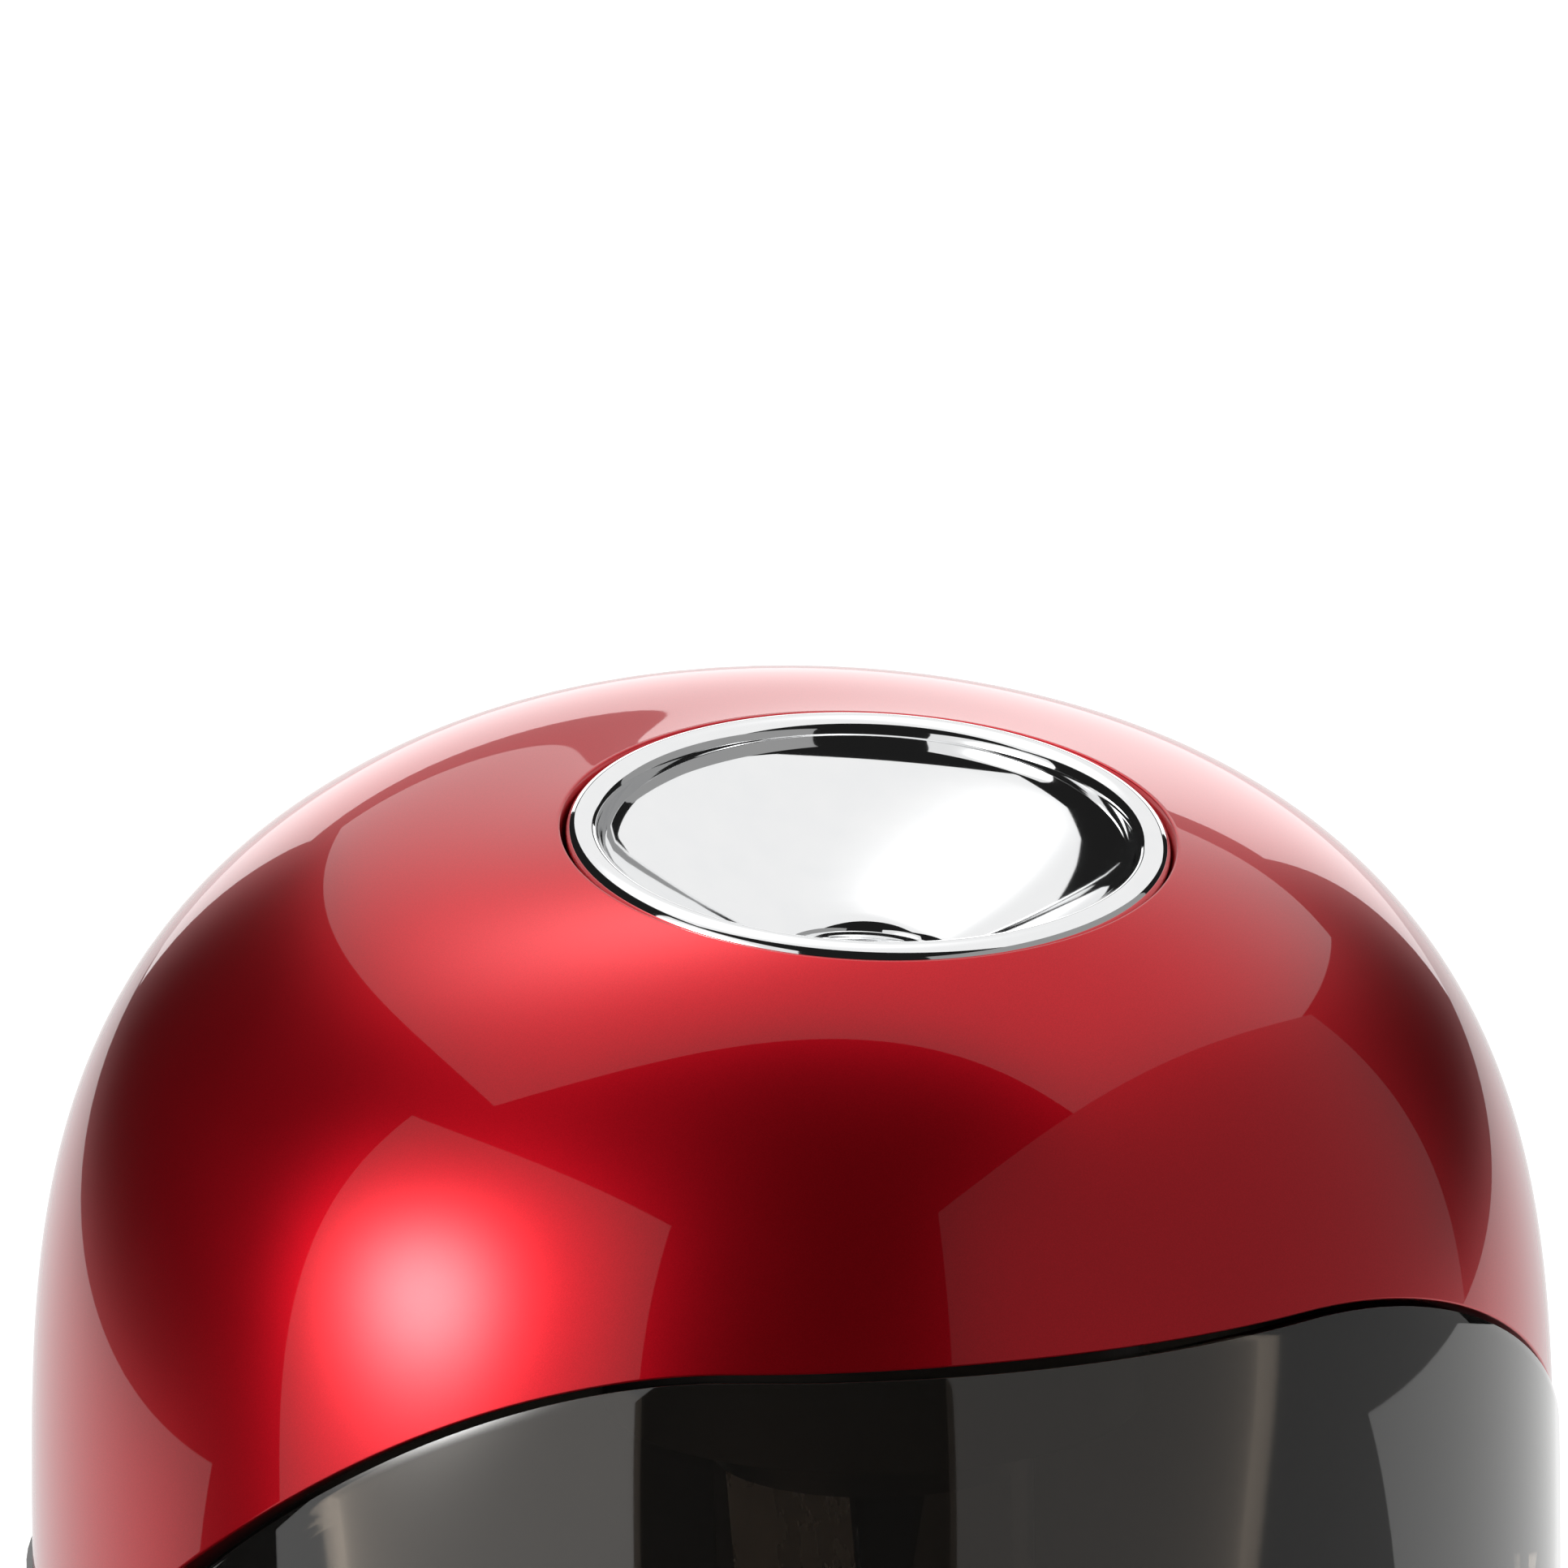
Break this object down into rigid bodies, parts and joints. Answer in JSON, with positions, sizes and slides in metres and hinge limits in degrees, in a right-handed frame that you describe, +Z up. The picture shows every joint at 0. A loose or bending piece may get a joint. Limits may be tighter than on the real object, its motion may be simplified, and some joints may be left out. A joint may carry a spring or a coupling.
{
  "type": "electric pencil sharpener",
  "caption": "Upright domed electric pencil sharpener with a bright funnel in the top, a spinning cutter and a translucent drawer for shavings.",
  "frame": {"origin": "middle of the footprint, on the surface that the feet stand on", "axes": "+Z up, the drawer opens towards -Y, +X to the right of someone facing the drawer's back"},
  "size_m": [0.0866, 0.0866, 0.1039],
  "materials": {
    "red_shell": "metallic red lacquer under a clear coat",
    "funnel_chrome": "bright plated plastic",
    "smoke_shell": "glossy smoke-grey translucent plastic",
    "grey_shell": "glossy dark grey plastic",
    "black_plastic": "fine moulded texture",
    "foot_rubber": "soft matt rubber",
    "steel": "bright plated steel",
    "blade_steel": "ground tool steel",
    "can_steel": "zinc plated sheet steel",
    "ballast_iron": "rough pressed plate",
    "bush_bronze": "sintered bronze",
    "pinion_brass": "machined brass",
    "contact_brass": "tinned brass",
    "gear_acetal": "white acetal",
    "cutter_alloy": "dark grey moulding",
    "magnet": "sintered ferrite",
    "armature": "laminated core with copper windings",
    "switch_button": "red moulding",
    "wire_jacket": "soft insulation"
  },
  "bodies": {
    "housing": {"upper_housing": "red_shell", "funnel": "funnel_chrome", "lower_housing": "grey_shell", "base_plate": "black_plastic", "ballast_plate": "ballast_iron", "feet": "foot_rubber", "base_screws": "steel", "housing_screws": "steel", "gear_frame": "black_plastic", "gear_cover": "black_plastic", "cover_screws": "steel", "frame_screws": "steel", "lower_bush": "bush_bronze", "upper_bush": "bush_bronze", "idler_axle": "steel", "motor_can": "can_steel", "motor_magnets": "magnet", "motor_end_cap": "black_plastic", "motor_terminals": "contact_brass", "motor_screws": "steel", "lever_pin": "steel", "lever_spring": "steel", "start_switch": "black_plastic", "interlock_switch": "black_plastic", "dc_jack": "black_plastic", "jack_pin": "contact_brass", "wires": "wire_jacket"},
    "drawer": {"shavings_bin": "smoke_shell"},
    "cutter": {"cutter_holder": "cutter_alloy", "cutter_blade": "blade_steel", "blade_screw": "steel", "drive_gear": "gear_acetal", "retaining_ring": "steel"},
    "idler": {"idler_gear": "gear_acetal"},
    "rotor": {"motor_shaft": "steel", "motor_armature": "armature", "pinion": "pinion_brass"},
    "lever": {"start_lever": "gear_acetal"},
    "start_button": {"start_plunger": "switch_button"},
    "interlock_button": {"interlock_plunger": "switch_button"}
  },
  "joints": [
    {"name": "bin_slide", "type": "slide", "parent": "housing", "child": "drawer", "axis": [0, -1, 0], "range_m": [0, 0.045]},
    {"name": "cutter_spin", "type": "hinge", "parent": "housing", "child": "cutter", "pos_m": [0, -0.0135, 0.07], "axis": [0, 0, 1], "continuous": true},
    {"name": "idler_spin", "type": "hinge", "parent": "housing", "child": "idler", "pos_m": [0.00413, 0.00315, 0.073], "axis": [0, 0, 1], "continuous": true},
    {"name": "motor_spin", "type": "hinge", "parent": "housing", "child": "rotor", "pos_m": [0, 0.016, 0.05], "axis": [0, 0, 1], "continuous": true},
    {"name": "start_lever_tilt", "type": "hinge", "parent": "housing", "child": "lever", "pos_m": [0, -0.0036, 0.0866], "axis": [1, 0, 0], "range_deg": [0, 12], "stiffness_Nm_per_rad": 0.01, "springref_deg": -5.73},
    {"name": "start_plunger_press", "type": "slide", "parent": "housing", "child": "start_button", "axis": [0, 1, 0], "range_m": [0, 0.00076]},
    {"name": "interlock_plunger_press", "type": "slide", "parent": "housing", "child": "interlock_button", "axis": [0, -1, 0], "range_m": [0, 0.0018]}
  ],
  "couplings": [
    {"joint": "idler_spin", "follows": "motor_spin", "ratio": -0.28571},
    {"joint": "cutter_spin", "follows": "motor_spin", "ratio": 0.11429},
    {"joint": "start_plunger_press", "follows": "start_lever_tilt", "m_per_rad": 0.0036},
    {"joint": "interlock_plunger_press", "follows": "bin_slide", "ratio": 0.04}
  ]
}
